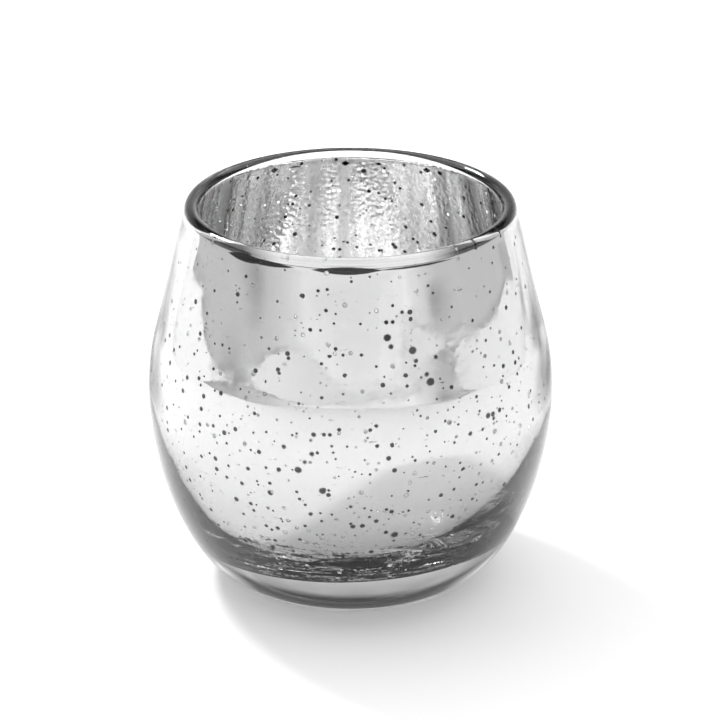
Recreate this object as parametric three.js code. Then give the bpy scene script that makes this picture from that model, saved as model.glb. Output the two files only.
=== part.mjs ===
// A round-bellied glass holder for a tealight, lined with a speckled silver mirror coat.
// Units are millimetres and +Z is up. The origin is the centre of the foot, on the table.
// Every piece is a solid of revolution about Z, and the coats lie on the glass one inside the other.

import * as THREE from "three";

// The glass, outside.
const HEIGHT = 67.5;
const BELLY_RADIUS = 35;
const BELLY_HEIGHT = 33;
const RIM_RADIUS = 28.3;
const SHOULDER_ARC_RADIUS = 49;
const FOOT_RADIUS = 19;
const FOOT_RING_WIDTH = 6;
const PUNT_DEPTH = 1;
const HEEL_POWER_Z = 1.7;
const HEEL_POWER_R = 1.93;

// The glass, inside.
const LIP_THICKNESS = 2.5;
const BELLY_WALL = 3;
const BASE_THICKNESS = 9.3;
const CAVITY_FLOOR_RADIUS = 21.2;
const CAVITY_HEEL_POWER_Z = 1.63;
const CAVITY_HEEL_POWER_R = 1.64;

// The coats on the cavity wall. The real ones are far thinner than these solids.
const COAT_THICKNESS = 0.1;

// How finely the round shapes are divided.
const TURN_STEPS = 48;
const PUNT_STEPS = 2;
const HEEL_STEPS = 10;
const SHOULDER_STEPS = 5;
const LIP_STEPS = 6;
const CAVITY_HEEL_STEPS = 7;
const CAVITY_SHOULDER_STEPS = 3;

const LIP_RADIUS = LIP_THICKNESS / 2;
const LIP_CENTRE_HEIGHT = HEIGHT - LIP_RADIUS;
const MOUTH_RADIUS = RIM_RADIUS - LIP_THICKNESS;
const CAVITY_BELLY_RADIUS = BELLY_RADIUS - BELLY_WALL;

// steps + 1 points of a curve whose parameter runs from 0 to 1.
function sample(curve, steps) {
  return Array.from({ length: steps + 1 }, (_, i) => curve(i / steps));
}

// A superellipse quarter from (lowRadius, lowHeight) up to the belly at bellyRadius, flat at its foot
// and upright at its top.
function heelCurve(lowRadius, lowHeight, bellyRadius, powerZ, powerR) {
  return (t) => {
    const drop = Math.cos((t * Math.PI) / 2);
    const swell = Math.max(0, 1 - drop ** powerZ) ** (1 / powerR);
    const radius = lowRadius + (bellyRadius - lowRadius) * swell;
    const height = BELLY_HEIGHT - (BELLY_HEIGHT - lowHeight) * drop;
    return new THREE.Vector2(radius, height);
  };
}

// The shallow hollow under the foot, from the axis out to the inner edge of the foot ring.
function puntCurve(t) {
  return new THREE.Vector2((FOOT_RADIUS - FOOT_RING_WIDTH) * t, PUNT_DEPTH * (1 - t * t));
}

// The arc over the belly, which ends where the straight line to the foot of the lip is tangent to it.
// The outside and the cavity share its centre, so their walls run side by side.
function shoulderCurve(bellyRadius, topRadius) {
  const centre = new THREE.Vector2(BELLY_RADIUS - SHOULDER_ARC_RADIUS, BELLY_HEIGHT);
  const arcRadius = bellyRadius - centre.x;
  const toTop = new THREE.Vector2(topRadius, LIP_CENTRE_HEIGHT).sub(centre);
  const reach = Math.max(toTop.length(), arcRadius);
  const sweep = toTop.angle() - Math.acos(arcRadius / reach);
  return (t) =>
    new THREE.Vector2(Math.cos(sweep * t), Math.sin(sweep * t))
      .multiplyScalar(arcRadius)
      .add(centre);
}

// The fire-polished lip, a half round from the outside of the rim over to the mouth.
function lipCurve(t) {
  const turn = Math.PI * t;
  return new THREE.Vector2(
    RIM_RADIUS - LIP_RADIUS + LIP_RADIUS * Math.cos(turn),
    LIP_CENTRE_HEIGHT + LIP_RADIUS * Math.sin(turn),
  );
}

// The cavity from the middle of its floor up to the mouth, moved into the cavity by inset.
function cavityOutline(inset) {
  const heel = heelCurve(
    CAVITY_FLOOR_RADIUS,
    BASE_THICKNESS,
    CAVITY_BELLY_RADIUS,
    CAVITY_HEEL_POWER_Z,
    CAVITY_HEEL_POWER_R,
  );
  const wall = [
    ...sample(heel, CAVITY_HEEL_STEPS),
    ...sample(shoulderCurve(CAVITY_BELLY_RADIUS, MOUTH_RADIUS), CAVITY_SHOULDER_STEPS).slice(1),
    new THREE.Vector2(MOUTH_RADIUS, LIP_CENTRE_HEIGHT),
  ];
  const last = wall.length - 1;
  const moved = wall.map((point, i) => {
    if (i === 0) return point.clone().add(new THREE.Vector2(0, inset));
    if (i === last) return point.clone().sub(new THREE.Vector2(inset, 0));
    const along = wall[i + 1].clone().sub(wall[i - 1]).normalize();
    return point.clone().add(new THREE.Vector2(-along.y, along.x).multiplyScalar(inset));
  });
  return [new THREE.Vector2(0, BASE_THICKNESS + inset), ...moved];
}

// A solid turned from a profile of (radius, height) points that starts and ends on the axis.
function turned(name, profile, material) {
  const geometry = new THREE.LatheGeometry(profile, TURN_STEPS);
  geometry.rotateX(Math.PI / 2);
  const mesh = new THREE.Mesh(geometry, material);
  mesh.name = name;
  return mesh;
}

function glassCup() {
  const heel = heelCurve(FOOT_RADIUS, 0, BELLY_RADIUS, HEEL_POWER_Z, HEEL_POWER_R);
  const outside = [
    ...sample(puntCurve, PUNT_STEPS),
    ...sample(heel, HEEL_STEPS),
    ...sample(shoulderCurve(BELLY_RADIUS, RIM_RADIUS), SHOULDER_STEPS).slice(1),
    ...sample(lipCurve, LIP_STEPS),
  ];
  const inside = cavityOutline(0).slice(0, -1).reverse();
  const material = new THREE.MeshStandardMaterial({
    color: 0xe9eeec,
    roughness: 0.03,
    metalness: 0,
    transparent: true,
    opacity: 0.35,
  });
  return turned("glass_cup", [...outside, ...inside], material);
}

// A coat that lies between two depths inside the cavity wall and ends at the foot of the lip.
function coat(name, depth, material) {
  const wallSide = cavityOutline(depth);
  const airSide = cavityOutline(depth + COAT_THICKNESS).reverse();
  return turned(name, [...wallSide, ...airSide], material);
}

const silverMaterial = new THREE.MeshStandardMaterial({
  color: 0xdcdcda,
  roughness: 0.14,
  metalness: 1,
});
const lacquerMaterial = new THREE.MeshStandardMaterial({
  color: 0xf4f3ee,
  roughness: 0.08,
  metalness: 0,
  transparent: true,
  opacity: 0.2,
});

const tealightHolder = new THREE.Group();
tealightHolder.name = "tealight_holder";
tealightHolder.add(
  glassCup(),
  coat("silver_coating", 0, silverMaterial),
  coat("clear_lacquer", COAT_THICKNESS, lacquerMaterial),
);

export default tealightHolder;
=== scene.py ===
# A glass tealight holder, lined with a speckled silver mirror coat under clear lacquer.
# Sizes of the object are in millimetres until a mesh is made, and Blender's own are in metres.

import math

import bpy
import numpy as np
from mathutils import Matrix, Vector, noise


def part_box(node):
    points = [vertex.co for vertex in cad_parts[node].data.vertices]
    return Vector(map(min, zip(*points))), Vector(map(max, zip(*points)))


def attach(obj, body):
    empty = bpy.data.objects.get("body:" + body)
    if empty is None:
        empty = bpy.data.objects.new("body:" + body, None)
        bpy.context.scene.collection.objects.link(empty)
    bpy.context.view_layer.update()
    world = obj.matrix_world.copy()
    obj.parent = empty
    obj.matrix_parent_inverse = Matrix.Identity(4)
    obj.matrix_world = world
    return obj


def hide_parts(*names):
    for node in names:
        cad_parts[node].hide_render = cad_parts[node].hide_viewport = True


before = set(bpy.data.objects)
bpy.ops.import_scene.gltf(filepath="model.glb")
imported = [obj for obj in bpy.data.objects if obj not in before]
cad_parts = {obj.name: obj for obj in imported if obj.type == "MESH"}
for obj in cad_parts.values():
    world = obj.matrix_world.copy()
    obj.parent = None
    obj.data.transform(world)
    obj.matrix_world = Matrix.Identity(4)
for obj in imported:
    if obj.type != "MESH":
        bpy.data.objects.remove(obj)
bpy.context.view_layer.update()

MM = 0.001
cup_low, cup_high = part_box("glass_cup")
coat_low, coat_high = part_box("silver_coating")

# The glass, outside and inside. What the parts' boxes in model.glb don't give repeats the CAD part's driving sizes.
HEIGHT = cup_high.z / MM
BELLY_RADIUS = cup_high.x / MM
BELLY_HEIGHT = 33
RIM_RADIUS = 28.3
SHOULDER_ARC_RADIUS = 49
FOOT_RADIUS = 19
FOOT_RING_WIDTH = 6
PUNT_DEPTH = 1
HEEL_POWERS = (1.7, 1.93)
FLOOR_HEIGHT = coat_low.z / MM
COAT_TOP = coat_high.z / MM
LIP_RADIUS = HEIGHT - COAT_TOP
CAVITY_BELLY_RADIUS = coat_high.x / MM
CAVITY_FLOOR_RADIUS = 21.2
CAVITY_HEEL_POWERS = (1.63, 1.64)
MOUTH_RADIUS = RIM_RADIUS - 2 * LIP_RADIUS

# How far hand-made glass strays from a true turned shape, in millimetres, and over what distance.
WAVE_DEPTH = 0.09
WAVE_LENGTH = 14
CAVITY_WAVE_DEPTH = 0.05
FLOOR_RISE = 0.035

# The film lies across the glass's inner face, and its back is inside the lacquer, so that light
# passes from glass to film and from lacquer to film with no air between them.
FILM_DEPTHS = (-0.02, 0.04)
LACQUER_DEPTHS = (0.01, 0.14)

TURN_STEPS = 384

# Finishes.
SILVER_FRONT = (0.58, 0.63)
SILVER_BACK = (0.84, 1.0)
TARNISH = (0.01, 0.1)
GLASS_COLOUR = (0.97, 0.975, 0.972, 1)
FRONT_ROUGHNESS = 0.06
FRONT_BUMP = 0.004
BACK_ROUGHNESS = 0.5
BACK_BUMP = 0.35
LACQUER_BUMP = 0.05
BEAD_SHARE = 0.16
SPECK_CELL = 1.3
SPECK_RADIUS = 0.5
JITTER = 0.15
# Painted shade: the silver's colour is darkened low down on the heel, between these heights, for the shaded floor
# under the cup that the heel reflects.
HEEL_HEIGHTS = (19.5, 13)
HEEL_SPREAD = 1.6
HEEL_SHADE_RAMP = (4.1, 4.9)


# ---------------------------------------------------------------- outlines, as (radius, height)


def heel(low, belly_radius, powers, steps):
    """A superellipse quarter from low, where it is level, up to the belly, where it is upright."""
    drop = np.cos(np.linspace(0, math.pi / 2, steps + 1))
    swell = np.maximum(0, 1 - drop ** powers[0]) ** (1 / powers[1])
    radius = low[0] + (belly_radius - low[0]) * swell
    return np.column_stack([radius, BELLY_HEIGHT - (BELLY_HEIGHT - low[1]) * drop])


def shoulder(belly_radius, top_radius, arc_steps, slope_steps):
    """The arc over the belly, and the straight slope that leaves it for the foot of the lip."""
    centre = np.array([BELLY_RADIUS - SHOULDER_ARC_RADIUS, BELLY_HEIGHT])
    arc_radius = belly_radius - centre[0]
    top = np.array([top_radius, COAT_TOP])
    to_top = top - centre
    reach = max(np.hypot(*to_top), arc_radius)
    sweep = math.atan2(to_top[1], to_top[0]) - math.acos(arc_radius / reach)
    turn = np.linspace(0, sweep, arc_steps + 1)
    arc = centre + arc_radius * np.column_stack([np.cos(turn), np.sin(turn)])
    return np.vstack([arc, np.linspace(arc[-1], top, slope_steps + 1)[1:]])


def lip(steps):
    """The half-round lip, from the outside over to the mouth."""
    turn = np.linspace(0, math.pi, steps + 1)
    centre = np.array([RIM_RADIUS - LIP_RADIUS, COAT_TOP])
    return centre + LIP_RADIUS * np.column_stack([np.cos(turn), np.sin(turn)])


def outside_outline():
    """From the middle of the punt out round the foot, up the side and over the lip."""
    share = np.linspace(0, 1, 9)
    punt = np.column_stack([(FOOT_RADIUS - FOOT_RING_WIDTH) * share, PUNT_DEPTH * (1 - share**2)])
    side = heel((FOOT_RADIUS, 0), BELLY_RADIUS, HEEL_POWERS, 60)
    return np.vstack([punt, side, shoulder(BELLY_RADIUS, RIM_RADIUS, 28, 20)[1:], lip(20)[1:]])


def cavity_outline():
    """From the middle of the cavity's floor up the wall to the mouth."""
    floor = np.linspace((0, FLOOR_HEIGHT), (CAVITY_FLOOR_RADIUS, FLOOR_HEIGHT), 11)
    side = heel((CAVITY_FLOOR_RADIUS, FLOOR_HEIGHT), CAVITY_BELLY_RADIUS, CAVITY_HEEL_POWERS, 60)
    return np.vstack([floor, side[1:], shoulder(CAVITY_BELLY_RADIUS, MOUTH_RADIUS, 24, 24)[1:]])


def inset(outline, depth):
    """The cavity's outline moved into the cavity by depth. Its top keeps its height."""
    along = np.gradient(outline, axis=0)
    along /= np.linalg.norm(along, axis=1)[:, None]
    along[0] = (1, 0)
    along[-1] = (0, 1)
    return outline + depth * np.column_stack([-along[:, 1], along[:, 0]])


# ---------------------------------------------------------------- meshes


def waves(point, depth, seed):
    """Soft swells in hand-made glass: an outward step in millimetres, none at the foot and the lip."""
    calm = min(1, point.z / 8, (HEIGHT - point.z) / 5)
    return depth * calm * noise.noise(point / WAVE_LENGTH + Vector((seed, 0, 0)))


def outside_shift(point):
    return waves(point, WAVE_DEPTH, 3.0), 0


def cavity_shift(point):
    """The cavity's swells, and its floor lying a little out of level, higher to the right."""
    low_down = max(0, 1 - (point.z - FLOOR_HEIGHT) / (BELLY_HEIGHT - FLOOR_HEIGHT))
    return waves(point, CAVITY_WAVE_DEPTH, 9.0), FLOOR_RISE * point.x * low_down


def turned(name, parts):
    """A closed solid turned from parts: (outline, shift, material number), where shift(point) gives a
    point's outward and upward steps in millimetres."""
    angles = np.linspace(0, 2 * math.pi, TURN_STEPS, endpoint=False)
    vertices, rings, faces, slots = [], [], [], []
    for outline, shift, number in parts:
        for radius, height in outline:
            on_axis = radius < 1e-6
            rings.append((number, [len(vertices) + (0 if on_axis else i) for i in range(TURN_STEPS)]))
            for angle in angles[:1] if on_axis else angles:
                direction = Vector((math.sin(angle), -math.cos(angle), 0))
                point = direction * float(radius) + Vector((0, 0, height))
                out, up = shift(point)
                vertices.append((point + direction * (0 if on_axis else out) + Vector((0, 0, up))) * MM)
    for (number, lower), (_, upper) in zip(rings, rings[1:]):
        for i in range(TURN_STEPS):
            j = (i + 1) % TURN_STEPS
            corners = list(dict.fromkeys([lower[i], lower[j], upper[j], upper[i]]))
            if len(corners) > 2:
                faces.append(corners)
                slots.append(number)
    mesh = bpy.data.meshes.new(name)
    mesh.from_pydata(vertices, [], faces)
    mesh.polygons.foreach_set("use_smooth", [True] * len(faces))
    mesh.polygons.foreach_set("material_index", slots)
    mesh.update()
    piece = bpy.data.objects.new(name, mesh)
    bpy.context.scene.collection.objects.link(piece)
    return piece


def coat(name, depths, air_side_material):
    """A closed shell on the cavity wall between two depths."""
    cavity = cavity_outline()
    wall_side = inset(cavity, depths[0])
    air_side = inset(cavity, depths[1])[::-1]
    return turned(name, [(wall_side, cavity_shift, 0), (air_side, cavity_shift, air_side_material)])


def make_glass():
    inside = cavity_outline()[:-1][::-1]
    return turned("glass", [(outside_outline(), outside_shift, 0), (inside, cavity_shift, 0)])


def make_film():
    film = coat("silver_film", FILM_DEPTHS, 1)
    for name, amount in (("specks", speck_amount), ("dashes", dash_amount), ("edge_wear", edge_wear)):
        layer = film.data.attributes.new(name, "FLOAT", "POINT")
        layer.data.foreach_set("value", [amount(v.co / MM) for v in film.data.vertices])
    return film


def make_lacquer():
    return coat("lacquer", LACQUER_DEPTHS, 0)


# ---------------------------------------------------------------- where the silver is worn

# Turns are in degrees round the cup, 0 at the front and positive to the right. Heights are in mm.
# Crowds of specks: turn, height, half width, half height, lean (degrees per mm), amount.
SPECK_CROWDS = (
    (-62, 43, 9, 22, 0.0, 0.75),
    (-16, 30, 11, 9, -1.2, 0.85),
    (-28, 24, 26, 9, 0.0, 0.35),
    (22, 47, 8, 9, -0.8, 0.8),
    (46, 38, 13, 6, 0.0, 0.8),
    (14, 21, 14, 4, 1.0, 0.6),
    (0, 37, 30, 6, 0.0, 0.3),
    (120, 35, 25, 14, 1.0, 0.6),
    (-130, 30, 30, 12, -1.0, 0.6),
    (180, 40, 22, 14, 0.0, 0.6),
    (165, 61, 40, 5, 0.0, 0.4),
)
# Elsewhere: low down and near the top.
EVEN_SPECKS = (0.85, 0.45)
# Slanted dashes, in the same terms.
DASH_CROWDS = (
    (36, 58, 14, 5, 0.0, 1.0),
    (8, 52, 5, 5, 0.0, 0.7),
    (-150, 52, 20, 8, 0.0, 0.6),
)
# Single large spots: turn, height, radius.
SPOTS = (
    (12, 54, 0.7),
    (13, 52.5, 0.5),
    (20, 51.5, 0.75),
    (25, 46, 0.8),
    (24, 47.3, 0.5),
    (-15, 32, 0.7),
    (-13, 33.5, 0.45),
    (-11, 35, 0.5),
    (-8, 28.5, 0.7),
    (44, 38, 0.6),
    (37, 36, 0.5),
    (14, 19.5, 0.7),
    (-24, 27, 0.6),
    (175, 63.5, 0.6),
)
# Black patches along the silver's upper edge: turn, half width, half height in mm.
EDGE_PATCH_HEIGHT = 65.0
EDGE_PATCHES = (
    (-39, 9, 0.75),
    (-32, 13, 0.55),
    (-1, 13, 0.7),
    (24, 17, 0.25),
    (143, 1.2, 0.5),
    (149, 1.4, 0.6),
    (169, 1.2, 0.4),
    (182, 1.4, 0.6),
    (-149, 1.4, 0.6),
    (-158, 3, 0.2),
    (-90, 5, 0.3),
)


def crowding(point, crowds):
    turn = math.degrees(math.atan2(point.x, -point.y))
    total = 0
    for middle, height, half_width, half_height, lean, amount in crowds:
        up = point.z - height
        across = (turn - middle - lean * up + 180) % 360 - 180
        total += amount * math.exp(-((across / half_width) ** 2) - (up / half_height) ** 2)
    return total


def speck_amount(point):
    high_up = min(1, max(0, (point.z - 38) / 16))
    even = EVEN_SPECKS[0] + (EVEN_SPECKS[1] - EVEN_SPECKS[0]) * high_up
    return even + crowding(point, SPECK_CROWDS)


def dash_amount(point):
    return crowding(point, DASH_CROWDS)


def edge_wear(point):
    """Half the height, in mm, of the black patch at a point's turn."""
    turn = math.degrees(math.atan2(point.x, -point.y))
    half_height = 0
    for middle, half_width, most in EDGE_PATCHES:
        across = abs((turn - middle + 180) % 360 - 180) / half_width
        half_height = max(half_height, most * max(0, 1 - across**2))
    return half_height


def on_film(turn, height):
    """The film's place at a turn and height, in mm."""
    outline = cavity_outline()
    radius = float(np.interp(height, outline[11:, 1], outline[11:, 0]))
    angle = math.radians(turn)
    return (radius * math.sin(angle), -radius * math.cos(angle), height)


# ---------------------------------------------------------------- materials


class Nodes:
    """Adds nodes to a tree. Most methods return the new node's output."""

    def __init__(self, tree):
        self.tree = tree

    def put(self, socket, value):
        if isinstance(value, bpy.types.NodeSocket):
            self.tree.links.new(value, socket)
        else:
            socket.default_value = value

    def node(self, kind, inputs, **settings):
        made = self.tree.nodes.new("ShaderNode" + kind)
        for setting, value in settings.items():
            setattr(made, setting, value)
        for socket, value in inputs.items():
            self.put(made.inputs[socket], value)
        return made

    def math(self, operation, *values):
        return self.node("Math", dict(enumerate(values)), operation=operation).outputs[0]

    def vector(self, operation, *values):
        return self.node("VectorMath", dict(enumerate(values)), operation=operation).outputs[0]

    def place(self):
        """The object's own coordinates, in millimetres."""
        here = self.tree.nodes.new("ShaderNodeTexCoord").outputs["Object"]
        return self.node("VectorMath", {0: here, "Scale": 1 / MM}, operation="SCALE").outputs[0]

    def noise(self, vector, scale, detail=2.0, output="Fac"):
        inputs = {"Vector": vector, "Scale": scale, "Detail": detail}
        return self.node("TexNoise", inputs).outputs[output]

    def ramp(self, value, low, high, to_low=0.0, to_high=1.0):
        inputs = {"Value": value, "From Min": low, "From Max": high, "To Min": to_low, "To Max": to_high}
        return self.node("MapRange", inputs).outputs[0]

    def attribute(self, name):
        return self.node("Attribute", {}, attribute_name=name).outputs["Fac"]

    def mix(self, share, low, high):
        made = self.node("Mix", {"Factor": share}, data_type="RGBA")
        self.put(made.inputs[6], low)
        self.put(made.inputs[7], high)
        return made.outputs[2]

    def bump(self, height, depth_mm, strength=1.0):
        inputs = {"Height": height, "Distance": depth_mm * MM, "Strength": strength}
        return self.node("Bump", inputs).outputs[0]


class Shader(Nodes):
    """One material, built round its Principled shader."""

    def __init__(self, name, **inputs):
        self.material = bpy.data.materials.new(name)
        self.material.use_nodes = True
        super().__init__(self.material.node_tree)
        self.surface = self.tree.nodes["Principled BSDF"]
        for socket, value in inputs.items():
            self.link(socket.replace("_", " "), value)

    def link(self, socket, value):
        self.put(self.surface.inputs[socket], value)


def grey(level):
    return (level, level, level, 1)


def dots(shader, place, amount, cell, radius, soft):
    """Round dots scattered in space, one for each cell that amount lets through. 0 to 1."""
    cells = shader.node("TexVoronoi", {"Vector": place, "Scale": 1 / cell})
    chance = shader.node("SeparateColor", {0: cells.outputs["Color"]})
    present = shader.math("LESS_THAN", chance.outputs[0], amount)
    size = shader.math("MULTIPLY_ADD", shader.math("POWER", chance.outputs[1], 1.6), 0.7, 0.3)
    reach = shader.math("MULTIPLY", shader.math("MULTIPLY", size, present), radius / cell)
    inside = shader.math("SUBTRACT", reach, cells.outputs["Distance"])
    return shader.ramp(inside, 0.0, soft / cell), chance.outputs[2]


def worn(shader, place):
    """Masks from 0 to 1: tarnished dots, holes right through the film, and its black upper edge."""
    jitter = shader.vector("SUBTRACT", shader.noise(place, 0.9, 2.0, "Color"), (0.5, 0.5, 0.5))
    ragged = shader.vector("MULTIPLY_ADD", jitter, (JITTER,) * 3, place)
    amount = shader.attribute("specks")
    small, small_chance = dots(shader, ragged, amount, SPECK_CELL, SPECK_RADIUS, 0.12)
    sparse = shader.math("MULTIPLY", amount, 0.55)
    large, large_chance = dots(shader, ragged, sparse, 4.4, 0.62, 0.2)
    turned_place = shader.node("Mapping", {"Vector": ragged, "Rotation": (0, -0.42, 0), "Scale": (1, 1, 0.36)})
    slanted, _ = dots(shader, turned_place.outputs[0], shader.attribute("dashes"), 1.9, 0.3, 0.12)
    spots = slanted
    for turn, height, radius in SPOTS:
        away = shader.node("VectorMath", {0: ragged, 1: on_film(turn, height)}, operation="DISTANCE")
        spots = shader.math("MAXIMUM", spots, shader.ramp(away.outputs["Value"], radius, radius - 0.25))
    height = shader.node("SeparateXYZ", {0: ragged}).outputs["Z"]
    from_patch = shader.math("ABSOLUTE", shader.math("SUBTRACT", height, EDGE_PATCH_HEIGHT))
    edge = shader.ramp(shader.math("SUBTRACT", shader.attribute("edge_wear"), from_patch), 0.0, 0.12)
    all_dots = shader.math("MAXIMUM", shader.math("MAXIMUM", small, large), spots)
    open_small = shader.math("MULTIPLY", small, shader.math("GREATER_THAN", small_chance, 0.72))
    open_large = shader.math("MULTIPLY", large, shader.math("GREATER_THAN", large_chance, 0.5))
    holes = shader.ramp(shader.math("MAXIMUM", open_small, open_large), 0.55, 0.8)
    return all_dots, holes, edge


def painted_heel_shade(shader, place):
    """Painted shade low down on the heel, in rings: the shaded floor under the cup, painted into the silver's
    colour. 0 to 1.
    """
    rings = shader.noise(shader.vector("MULTIPLY", place, (0.2, 0.2, 1.6)), 1.0, 4.0)
    grain = shader.noise(place, 1.6, 2.0)
    texture = shader.math("MULTIPLY_ADD", rings, 4.0, shader.math("MULTIPLY", grain, 2.5))
    height = shader.node("SeparateXYZ", {0: place}).outputs["Z"]
    low_down = shader.ramp(height, *HEEL_HEIGHTS)
    return shader.ramp(shader.math("MULTIPLY_ADD", low_down, HEEL_SPREAD, texture), *HEEL_SHADE_RAMP)


def silver_shader(name, silver_greys, pattern, with_heel_shade):
    shader = Shader(name, Metallic=1.0)
    place = shader.place()
    tarnish, holes, black_edge_and_heel_shade = worn(shader, place)
    silver = shader.mix(pattern(shader, place), *map(grey, silver_greys))
    blotch = shader.mix(shader.noise(place, 0.9, 2.0), *map(grey, TARNISH))
    # With the heel shade, painted shade low on the heel joins the black upper edge, and both darken the silver's
    # colour.
    if with_heel_shade:
        black_edge_and_heel_shade = shader.math("MAXIMUM", black_edge_and_heel_shade, painted_heel_shade(shader, place))
    shader.link("Base Color", shader.mix(black_edge_and_heel_shade, shader.mix(tarnish, silver, blotch), grey(0.003)))
    shader.link("Alpha", shader.math("SUBTRACT", 1.0, holes))
    return shader, place, tarnish


def clouds(shader, place):
    return shader.noise(place, 0.16, 3.0)


def silver_front():
    """The silver's bright side, against the glass."""
    # The bright side gets the painted heel shade.
    shader, place, tarnish = silver_shader("silver_front", SILVER_FRONT, clouds, True)
    smooth = shader.ramp(shader.noise(place, 0.35, 3.0), 0.3, 0.7, 0.0, FRONT_ROUGHNESS)
    shader.link("Roughness", shader.math("MULTIPLY_ADD", tarnish, 0.45, smooth))
    shader.link("Normal", shader.bump(shader.noise(place, 0.22, 2.0), FRONT_BUMP))
    return shader.material


def drawn_down(shader, place):
    """Coordinates that hardly change with height, so that patterns run down the inside."""
    outward = shader.vector("NORMALIZE", shader.vector("MULTIPLY", place, (1, 1, 0)))
    flat = shader.vector("MULTIPLY", outward, (MOUTH_RADIUS,) * 3)
    return shader.vector("MULTIPLY_ADD", place, (0, 0, 0.06), flat)


def fine_streaks(shader, place):
    """Streaks down the inside, broken up by flecks."""
    streaks = shader.noise(drawn_down(shader, place), 0.7, 3.0)
    flecks = shader.noise(shader.vector("MULTIPLY", place, (1, 1, 0.5)), 1.6, 1.0)
    return shader.ramp(shader.math("ADD", streaks, flecks), 0.8, 1.1)


def runs_in_lacquer(shader, place):
    drawn_out = drawn_down(shader, place)
    broad = shader.noise(drawn_out, 0.24, 0.0)
    narrow = shader.noise(drawn_out, 0.8, 0.0)
    beads = shader.noise(place, 1.3, 0.0)
    return shader.math("MULTIPLY_ADD", narrow, 0.14, shader.math("MULTIPLY_ADD", beads, BEAD_SHARE, broad))


def silver_back():
    """The silver's other side, seen through the lacquer from inside the cup."""
    shader, place, tarnish = silver_shader("silver_back", SILVER_BACK, fine_streaks, False)
    runs = runs_in_lacquer(shader, place)
    smooth = shader.ramp(runs, 0.4, 1.1, 0.0, BACK_ROUGHNESS)
    shader.link("Roughness", shader.math("MULTIPLY_ADD", tarnish, 0.45, smooth))
    shader.link("Normal", shader.bump(runs, BACK_BUMP))
    return shader.material


def glass_material():
    shader = Shader("clear_glass", Base_Color=GLASS_COLOUR, IOR=1.52, Transmission_Weight=1.0)
    place = shader.place()
    shader.link("Roughness", shader.ramp(shader.noise(place, 0.08, 3.0), 0.45, 0.8, 0.0, 0.04))
    shader.link("Normal", shader.bump(shader.noise(place, 0.12, 1.0), 0.03))
    return shader.material


def lacquer_material():
    shader = Shader("clear_lacquer", Base_Color=(1, 1, 1, 1), IOR=1.5, Transmission_Weight=1.0)
    place = shader.place()
    runs = runs_in_lacquer(shader, place)
    shader.link("Roughness", shader.ramp(runs, 0.5, 1.1, 0.0, 0.08))
    shader.link("Normal", shader.bump(runs, LACQUER_BUMP))
    return shader.material


# ---------------------------------------------------------------- the stage

FLOOR_RADIUS = 8.0
FLOOR_COLOUR = 0.72
FLOOR_GLOW = 0.3
# A hair of air under the foot, so that light inside the glass meets air there and not the floor.
FLOOR_GAP = 0.0001
# A low bent wall stands round the sides and the front of the cup, at these (x, y) places in metres.
# It glows though it is no lamp and lights nothing: painted light, seen only in the cup.
# The camera doesn't see it. Its reflection is the darker bowl shape in the upper half of the silver.
WALL_LINE = (
    (-0.23, 0.15), (-0.3, 0.1), (-0.35, 0.02), (-0.44, -0.07), (-0.6, -0.26), (-0.78, -0.6),
    (-1.15, -1.5), (-1.36, -2.4), (-1.4, -3.8), (-1.0, -6.0), (0.0, -7.5), (1.3, -7.6), (2.4, -6.9),
    (2.4, -4.4), (2.1, -3.0), (1.6, -1.75), (1.1, -0.96), (0.78, -0.45), (0.64, -0.2), (0.5, -0.05),
    (0.38, 0.055), (0.31, 0.11), (0.26, 0.145), (0.2, 0.15),
)
WALL_HEIGHT = 0.12
# The wall's glow, painted light seen only in the cup, near the cup and far towards the front, and where it changes.
WALL_GLOW = (0.8, 1.3)
WALL_FADE_Y = (-0.5, -2.6)
# Painted shade at the wall's very foot, darker up to a height that grows with the distance ahead.
WALL_FOOT_SHADE = (0.004, 0.004)
WALL_FOOT_SHADE_KEPT = 0.7
# Painted shade on the wall, seen only in the cup: soft dark places, (x, y, z) in metres, half width, half height,
# and how dark.
WALL_SHADES = (
    ((-0.6, -0.27, 0.034), 0.3, 0.024, 0.45),
    ((-0.5, -0.14, 0.0), 0.21, 0.018, 0.3),
    ((0.86, -0.6, 0.022), 0.5, 0.024, 0.45),
)
# Dark sheets of painted shadow lie on the floor behind, left and right, seen only in the cup, and edge
# the cup's sides in grey: (x, y) in metres, half width, half length, and how dark.
SHADES = (
    ((-0.078, 0.092), 0.034, 0.062, 0.85),
    ((0.08, 0.092), 0.038, 0.062, 0.92),
    ((0.145, 0.135), 0.022, 0.03, 0.6),
)
SHADE_HEIGHT = 0.001
# Brightness by the sine of the height above the horizon, in front, beside and behind.
ZENITH = 0.9
WORLD_FRONT = (
    (0, 0.75), (0.003, 1.3), (0.07, 1.25), (0.1, 0.12), (0.27, 0.12), (0.31, 1.4), (0.53, 1.4),
    (0.58, 0.03), (0.82, 0.03), (0.92, 1.5), (0.97, ZENITH),
)
WORLD_BESIDE = ((0, 0.9), (0.07, 0.8), (0.12, 0.1), (0.45, 0.1), (0.52, 2.0), (0.9, 2.0), (0.97, ZENITH))
WORLD_BACK = ((0, 1.1), (0.3, 0.5), (0.4, 0.35), (0.44, 0.02), (0.58, 0.02), (0.62, 2.7), (0.9, 2.2), (0.97, ZENITH))
# How far ahead counts as front and as back: -1 is straight towards the camera, 1 straight away.
FRONT_FADE = (-0.1, -0.6)
BACK_FADE = (0.4, 0.85)
KEY_PLACE = (-0.7, 0.9, 1.07)
KEY_SIZE = 0.26
KEY_POWER = 21


def flat_stage_material(name, colour, glow):
    inputs = {"Base_Color": grey(colour), "Roughness": 0.7, "Emission_Color": grey(glow)}
    return Shader(name, Emission_Strength=1.0, **inputs).material


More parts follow.
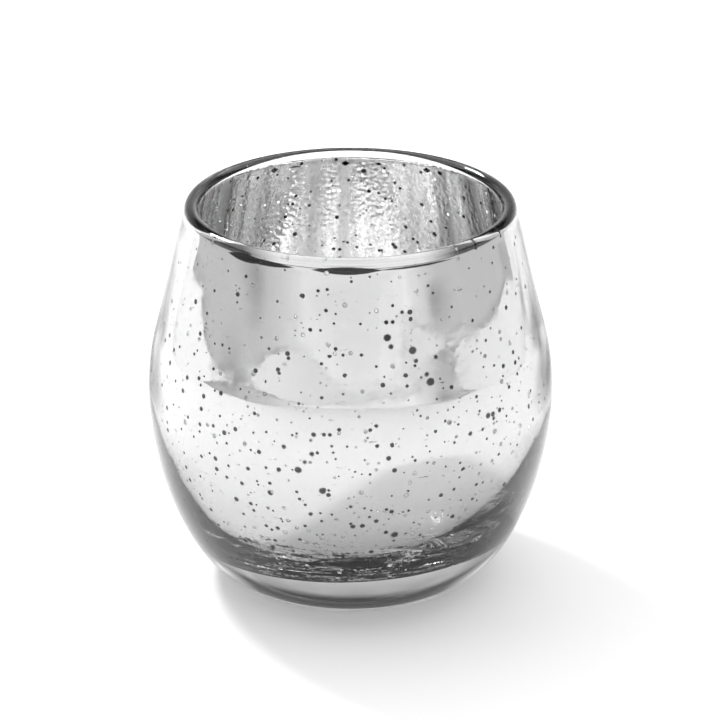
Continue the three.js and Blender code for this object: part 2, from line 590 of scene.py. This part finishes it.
def stage_mesh(name, vertices, faces, material):
    mesh = bpy.data.meshes.new(name)
    mesh.from_pydata(vertices, [], faces)
    mesh.materials.append(material)
    made = bpy.data.objects.new(name, mesh)
    bpy.context.scene.collection.objects.link(made)
    return made


def reflected_only(piece):
    """Leaves a piece of the stage visible in the cup alone: not itself, and not by its shade."""
    piece.visible_camera = False
    piece.visible_diffuse = False
    piece.visible_shadow = False


def make_floor():
    corners = [(-1, -1), (1, -1), (1, 1), (-1, 1)]
    places = [(x * FLOOR_RADIUS, y * FLOOR_RADIUS, -FLOOR_GAP) for x, y in corners]
    stage_mesh("floor", places, [(0, 1, 2, 3)], flat_stage_material("floor", FLOOR_COLOUR, FLOOR_GLOW))


def blob(shader, place, middle, reach):
    """1 at a middle, falling softly to 0 at a reach along each axis. Both are in metres."""
    away = shader.vector("SUBTRACT", place, [along / MM for along in middle])
    scaled = shader.vector("DIVIDE", away, [size / MM for size in reach])
    far = shader.node("VectorMath", {0: scaled}, operation="LENGTH").outputs["Value"]
    inputs = {"Value": far, "From Min": 0, "From Max": 1, "To Min": 1, "To Max": 0}
    return shader.node("MapRange", inputs, interpolation_type="SMOOTHSTEP").outputs[0]


def make_shades():
    for number, (middle, half_width, half_length, darkness) in enumerate(SHADES):
        name = f"shade_{number}"
        # Each shade is a dark sheet of painted shadow, seen only in the cup.
        shader = Shader(name, Base_Color=grey(0.02), Roughness=0.7)
        spot = blob(shader, shader.place(), (*middle, SHADE_HEIGHT), (half_width, half_length, 1))
        shader.link("Alpha", shader.math("MULTIPLY", spot, darkness))
        corners = [(-1, -1), (1, -1), (1, 1), (-1, 1)]
        places = [(middle[0] + half_width * x, middle[1] + half_length * y, SHADE_HEIGHT) for x, y in corners]
        reflected_only(stage_mesh(name, places, [(0, 1, 2, 3)], shader.material))


def wall_material():
    """Painted light and shade, seen only in the cup: glows brighter towards the front, with soft dark places of
    painted shade and a painted dark foot.
    """
    shader = Shader("wall", Base_Color=grey(0), Emission_Strength=1.0)
    place = shader.place()
    axes = shader.node("SeparateXYZ", {0: place}).outputs
    glow = shader.ramp(axes["Y"], *[y / MM for y in WALL_FADE_Y], *WALL_GLOW)
    # Painted shade: soft dark places on the wall.
    for middle, half_width, half_height, darkness in WALL_SHADES:
        spot = blob(shader, place, middle, (half_width, half_width, half_height))
        glow = shader.math("MULTIPLY", glow, shader.math("MULTIPLY_ADD", spot, -darkness, 1.0))
    # Painted shade at the wall's foot, as where it meets the floor.
    foot = shader.math("MULTIPLY_ADD", shader.math("ABSOLUTE", axes["Y"]), WALL_FOOT_SHADE[1], WALL_FOOT_SHADE[0] / MM)
    up = shader.math("DIVIDE", axes["Z"], foot)
    glow = shader.math("MULTIPLY", glow, shader.ramp(up, 0.3, 1.0, WALL_FOOT_SHADE_KEPT, 1.0))
    shader.link("Emission Color", shader.node("CombineColor", {0: glow, 1: glow, 2: glow}).outputs[0])
    return shader.material


def make_wall():
    steps = len(WALL_LINE)
    places = [(x, y, z) for z in (0, WALL_HEIGHT) for x, y in WALL_LINE]
    faces = [(i, i + 1, i + 1 + steps, i + steps) for i in range(steps - 1)]
    reflected_only(stage_mesh("wall", places, faces, wall_material()))


def make_world():
    world = bpy.data.worlds.new("studio")
    bpy.context.scene.world = world
    world.use_nodes = True
    nodes = Nodes(world.node_tree)
    direction = nodes.tree.nodes.new("ShaderNodeTexCoord").outputs["Generated"]
    axes = nodes.node("SeparateXYZ", {0: direction}).outputs
    level = nodes.math("SQRT", nodes.math("MULTIPLY_ADD", axes["Z"], nodes.math("MULTIPLY", axes["Z"], -1.0), 1.001))
    ahead = nodes.math("DIVIDE", axes["Y"], level)

    def by_height(stops):
        ramp = nodes.node("ValToRGB", {"Fac": axes["Z"]})
        elements = ramp.color_ramp.elements
        elements[0].position, elements[1].position = stops[0][0], stops[-1][0]
        elements[0].color, elements[1].color = grey(stops[0][1]), grey(stops[-1][1])
        for at, level_there in stops[1:-1]:
            elements.new(at).color = grey(level_there)
        return ramp.outputs[0]

    beside_or_front = nodes.mix(nodes.ramp(ahead, *FRONT_FADE), by_height(WORLD_BESIDE), by_height(WORLD_FRONT))
    colour = nodes.mix(nodes.ramp(ahead, *BACK_FADE), beside_or_front, by_height(WORLD_BACK))
    nodes.put(nodes.tree.nodes["Background"].inputs["Color"], colour)


def area_light(name, place, target, size, power):
    lamp = bpy.data.lights.new(name, "AREA")
    lamp.size = size
    lamp.energy = power
    light = bpy.data.objects.new(name, lamp)
    bpy.context.scene.collection.objects.link(light)
    light.location = place
    light.rotation_euler = (Vector(target) - Vector(place)).to_track_quat("-Z", "Y").to_euler()
    return light


def make_camera():
    camera = bpy.data.cameras.new("camera")
    camera.lens = 173.6
    camera.sensor_width = 36
    camera.clip_start = 0.01
    rig = bpy.data.objects.new("camera", camera)
    bpy.context.scene.collection.objects.link(rig)
    elevation = math.radians(22.79)
    target = Vector((0.00164, 0, 0.03819))
    rig.location = target + 0.6 * Vector((0, -math.cos(elevation), math.sin(elevation)))
    rig.rotation_euler = (math.pi / 2 - elevation, 0, 0)
    bpy.context.scene.camera = rig


for piece, node, slot, materials in (
    (make_glass(), "glass_cup", "glass", [glass_material()]),
    (make_film(), "silver_coating", "silver", [silver_front(), silver_back()]),
    (make_lacquer(), "clear_lacquer", "lacquer", [lacquer_material()]),
):
    for material in materials:
        piece.data.materials.append(material)
    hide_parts(node)
    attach(piece, "root")

make_floor()
make_wall()
make_shades()
make_world()
area_light("key", KEY_PLACE, (0, 0, 0.03), KEY_SIZE, KEY_POWER)
make_camera()

scene = bpy.context.scene
scene.view_settings.view_transform = "Standard"
scene.cycles.max_bounces = 32
scene.cycles.transmission_bounces = 32
scene.cycles.glossy_bounces = 24
scene.cycles.transparent_max_bounces = 24
